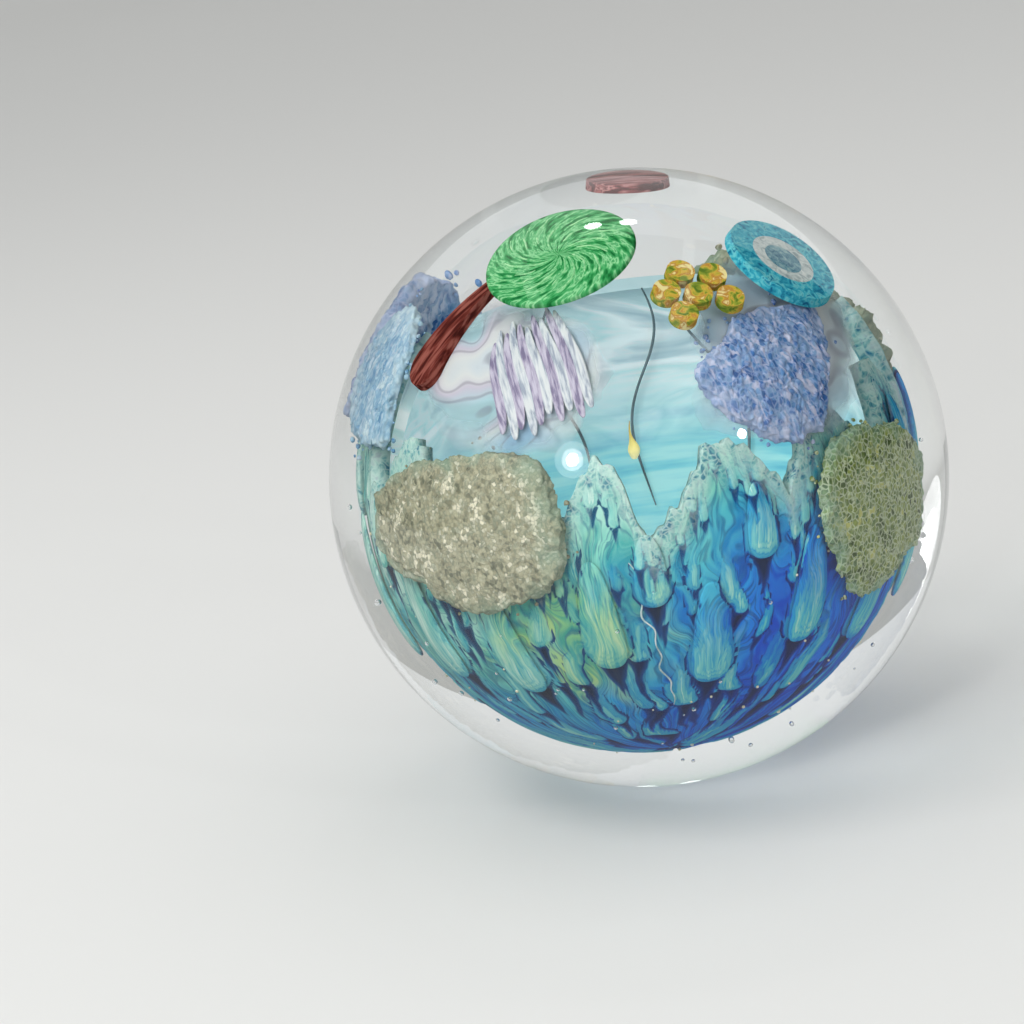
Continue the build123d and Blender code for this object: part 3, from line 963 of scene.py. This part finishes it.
# ---- Rose slice ----
# A slice of rose and brown cane behind the top, its colours folded together in stripes.
rose_stops = [
    (0.4, "#551f1d"), (0.46, "#8f4846"), (0.52, "#c48a86"), (0.56, "#6b2c2b"), (0.62, "#a85f5c")
]
wear("rose_slice", pulled_cane("rose cane", 165, 66, 25, rose_stops, 1.0 * mm))

# ---- Amber chips ----
# Six short bits of amber, yellow and olive rod, fused side by side so that their edges slumped.
amber_stops = [
    (0.34, "#587426"), (0.43, "#8f9a34"), (0.5, "#cfae44"), (0.57, "#b97f36"), (0.64, "#e6d796")
]
wear("amber_chips", cased_glass("amber and olive rod", 1.6 * mm, amber_stops))

# ---- Pale trail ----
# One hair of opal white glass, trailed down over the front of the bowl between the runs.
trail_line = []
for i in range(16):
    latitude = math.radians(-6 - 3.2 * i)
    azimuth = math.radians(-5 + 0.5 * i + 1.6 * math.sin(i * 2.3) + 0.8 * math.sin(i * 1.1))
    trail_line.append(on_ball(azimuth, latitude, bowl_reach + 0.14 * mm))
opal_hair = cased_glass("opal white hair", 1.5 * mm, [(0.35, "#9fc2c4"), (0.6, "#e8f1ee")])
hair("pale_trail", [trail_line], 0.2 * mm, (0.5, 1.0, 0.7, 1.0, 0.4), opal_hair)

# ---- Bright specks ----
# Tiny pale specks at the ends of some of the tongues: painted glints, whose pale colour stands in for
# the sparkle of light there.
specks_mesh = bmesh.new()
chance = random.Random(11)
for start, top, length, half, *_ in tongues:
    if chance.random() < 0.4:
        low = top - (length - half * 0.6) / bowl_reach
        spot = Matrix.Translation(on_ball(start, low, bowl_reach + 0.05 * mm))
        size = chance.uniform(0.09, 0.17) * mm
        bmesh.ops.create_icosphere(specks_mesh, subdivisions=2, radius=size, matrix=spot)
# Their pale colour is a painted glint.
glint_speck_glass = cased_glass("pale specks as painted glints", 0.5 * mm, [(0.35, "#e9dcae"), (0.6, "#fbf6e2")])
finished(specks_mesh, "bright_specks", glint_speck_glass)

# ---- Clear ball ----
# Optical-clear glass gathered over everything, rounded in a wet block, and ground and polished
# flat underneath. Seed bubbles stay in it, most of them caught at the tips of the drips.
ball_mesh = bmesh.new()
bmesh.ops.create_uvsphere(ball_mesh, u_segments=256, v_segments=128, radius=ball_high.y)
bmesh.ops.translate(ball_mesh, vec=middle, verts=ball_mesh.verts)
bmesh.ops.bisect_plane(
    ball_mesh,
    geom=ball_mesh.verts[:] + ball_mesh.edges[:] + ball_mesh.faces[:],
    plane_co=(0, 0, 0),
    plane_no=(0, 0, -1),
    clear_outer=True,
)
rim_edges = [edge for edge in ball_mesh.edges if edge.is_boundary]
bmesh.ops.contextual_create(ball_mesh, geom=rim_edges)
bmesh.ops.bevel(
    ball_mesh,
    geom=rim_edges,
    offset=0.4 * mm,
    segments=2,
    profile=0.5,
    affect="EDGES",
    material=-1,
    clamp_overlap=True,
)

bubbles = bmesh.new()
chance = random.Random(3)
for start, top, length, half, *_ in tongues + fat_runs:
    if chance.random() < 0.25:
        low = top - (length - half) / bowl_reach
        reach = bowl_reach + chance.uniform(0.9, 1.6) * mm
        spot = Matrix.Translation(on_ball(start, low, reach))
        size = chance.uniform(0.1, 0.26) * mm
        bmesh.ops.create_icosphere(bubbles, subdivisions=3, radius=size, matrix=spot)
bmesh.ops.reverse_faces(bubbles, faces=bubbles.faces)
gather(ball_mesh, bubbles)

crystal = bpy.data.materials.new("clear crystal")
crystal.use_nodes = True
tree = crystal.node_tree
shader = tree.nodes["Principled BSDF"]
shader.inputs["Base Color"].default_value = linear("#fbfdfd")
shader.inputs["Roughness"].default_value = 0.0
shader.inputs["IOR"].default_value = 1.5
shader.inputs["Transmission Weight"].default_value = 1.0
in_shadow_ray = add_node(tree, "LightPath", out="Is Shadow Ray")
edge_on = add_node(tree, "LayerWeight", {"Blend": 0.35}, out="Facing")
dimming = add_node(tree, "ValToRGB", [edge_on], [(0.2, "#f7fafa"), (0.75, "#8f9a9a")])
letting = add_node(tree, "BsdfTransparent", {"Color": dimming})
through = add_node(tree, "MixShader", [in_shadow_ray, shader.outputs[0], letting])
tree.links.new(through, tree.nodes["Material Output"].inputs["Surface"])
ball = finished(ball_mesh, "clear_glass_ball", crystal)
for polygon in ball.data.polygons:
    if len(polygon.vertices) > 4:
        polygon.use_smooth = False
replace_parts(ball, "clear_ball")

# ---- Studio ----
# A pale round floor that sweeps up on every side, a large soft light above and to the left, and
# small ones that make the glass glint: one left, one right and a pair behind.
def matte(name, colour, roughness, gloss):
    """A dull material for the studio."""
    made = bpy.data.materials.new(name)
    made.use_nodes = True
    shader = made.node_tree.nodes["Principled BSDF"]
    shader.inputs["Base Color"].default_value = linear(colour)
    shader.inputs["Roughness"].default_value = roughness
    shader.inputs["Specular IOR Level"].default_value = gloss
    return made


def set_up(mesh, name, material):
    """Turns a bmesh into a thing of the studio's, which isn't part of the object."""
    data = bpy.data.meshes.new(name)
    mesh.to_mesh(data)
    mesh.free()
    data.materials.append(material)
    thing = bpy.data.objects.new(name, data)
    bpy.context.scene.collection.objects.link(thing)
    return thing


floor_reach, sweep_radius = 2.6, 1.4
sweep_mesh = bmesh.new()
rows = [(0.0, 0.0)]
for a in np.linspace(0, math.pi / 2, 17):
    rows.append((floor_reach + sweep_radius * math.sin(a), sweep_radius * (1 - math.cos(a))))
line = [sweep_mesh.verts.new((reach, 0, rise)) for reach, rise in rows]
edges = [sweep_mesh.edges.new(pair) for pair in zip(line, line[1:])]
bmesh.ops.spin(
    sweep_mesh,
    geom=line + edges,
    axis=(0, 0, 1),
    cent=(0, 0, 0),
    angle=math.tau,
    steps=96,
    use_merge=True,
)
bmesh.ops.remove_doubles(sweep_mesh, verts=sweep_mesh.verts, dist=mm)
bmesh.ops.recalc_face_normals(sweep_mesh, faces=sweep_mesh.faces)
for face in sweep_mesh.faces:
    face.smooth = True
paper = matte("pale seamless paper", "#dcdcda", 0.9, 0.1)
set_up(sweep_mesh, "sweep", paper).location.z = -0.05 * mm

world = bpy.data.worlds.new("studio")
bpy.context.scene.world = world
world.use_nodes = True
tree = world.node_tree
seen = add_node(tree, "LightPath").node.outputs
direct = add_node(tree, "Math", [seen["Is Camera Ray"], seen["Is Glossy Ray"]], operation="MAXIMUM")
direct = add_node(tree, "Math", [direct, seen["Is Transmission Ray"]], operation="MAXIMUM")
strength = add_node(tree, "MapRange", [direct, 0.0, 1.0, 0.8, 0.9])
backdrop = tree.nodes["Background"]
backdrop.inputs["Color"].default_value = linear("#f1f2f2")
tree.links.new(strength, backdrop.inputs["Strength"])


def add_lamp(name, size, power, place, mirrored=True):
    """A round soft light that faces the ball, and that the glass mirrors or not."""
    data = bpy.data.lights.new(name, "AREA")
    data.shape = "DISK"
    data.size = size
    data.energy = power
    lamp = bpy.data.objects.new(name, data)
    lamp.location = place
    lamp.rotation_euler = (middle - Vector(place)).to_track_quat("-Z", "Y").to_euler()
    lamp.visible_glossy = mirrored
    bpy.context.scene.collection.objects.link(lamp)


def add_flag(name, place, width, height):
    """A grey card outside the view, which gives the clear glass its darker edge."""
    card = bmesh.new()
    bmesh.ops.create_grid(card, x_segments=1, y_segments=1, size=0.5)
    bmesh.ops.scale(card, vec=(width, height, 1), verts=card.verts)
    flag = set_up(card, name, felt)
    flag.location = place
    flag.rotation_euler = (middle - Vector(place)).to_track_quat("Z", "Y").to_euler()
    flag.visible_camera = flag.visible_diffuse = flag.visible_shadow = False


felt = matte("grey felt", "#55585c", 1.0, 0.5)
add_flag("left_flag", (-0.42, 0.0, 0.25), 0.45, 0.8)
add_flag("right_flag", (0.42, 0.0, 0.25), 0.45, 0.8)
add_flag("top_flag", (0.0, 0.05, 0.6), 0.4, 0.3)
add_lamp("soft_key", 0.5, 4.0, (-0.5, -0.35, 0.75), mirrored=False)
for size, power in ((0.05, 0.35), (0.085, 0.2), (0.14, 0.16)):
    add_lamp("left_glint", size, power, (-0.23, -0.55, 0.29))
add_lamp("right_glint", 0.035, 0.25, (0.38, -0.44, 0.26))
for side in (-0.02, 0.06):
    add_lamp("rear_glint", 0.04, 0.05, (side, 0.27, 0.56))

# ---- Camera ----
# It looks down a little at the ball, rolled, and turned so that the ball stands right of centre.
distance = 0.315
elevation = math.radians(15)
roll, pan, tilt = math.radians(-8), math.radians(2.96), math.radians(-0.81)
camera_data = bpy.data.cameras.new("camera")
camera_data.lens = 85
camera = bpy.data.objects.new("camera", camera_data)
bpy.context.scene.collection.objects.link(camera)
bpy.context.scene.camera = camera
camera.location = middle + distance * Vector((0, -math.cos(elevation), math.sin(elevation)))
level_view = (middle - camera.location).to_track_quat("-Z", "Y").to_matrix()
swing = Matrix.Rotation(pan, 3, "Y") @ Matrix.Rotation(tilt, 3, "X")
camera.rotation_euler = (level_view @ Matrix.Rotation(roll, 3, "Z") @ swing).to_euler()

bpy.context.scene.view_settings.view_transform = "Standard"
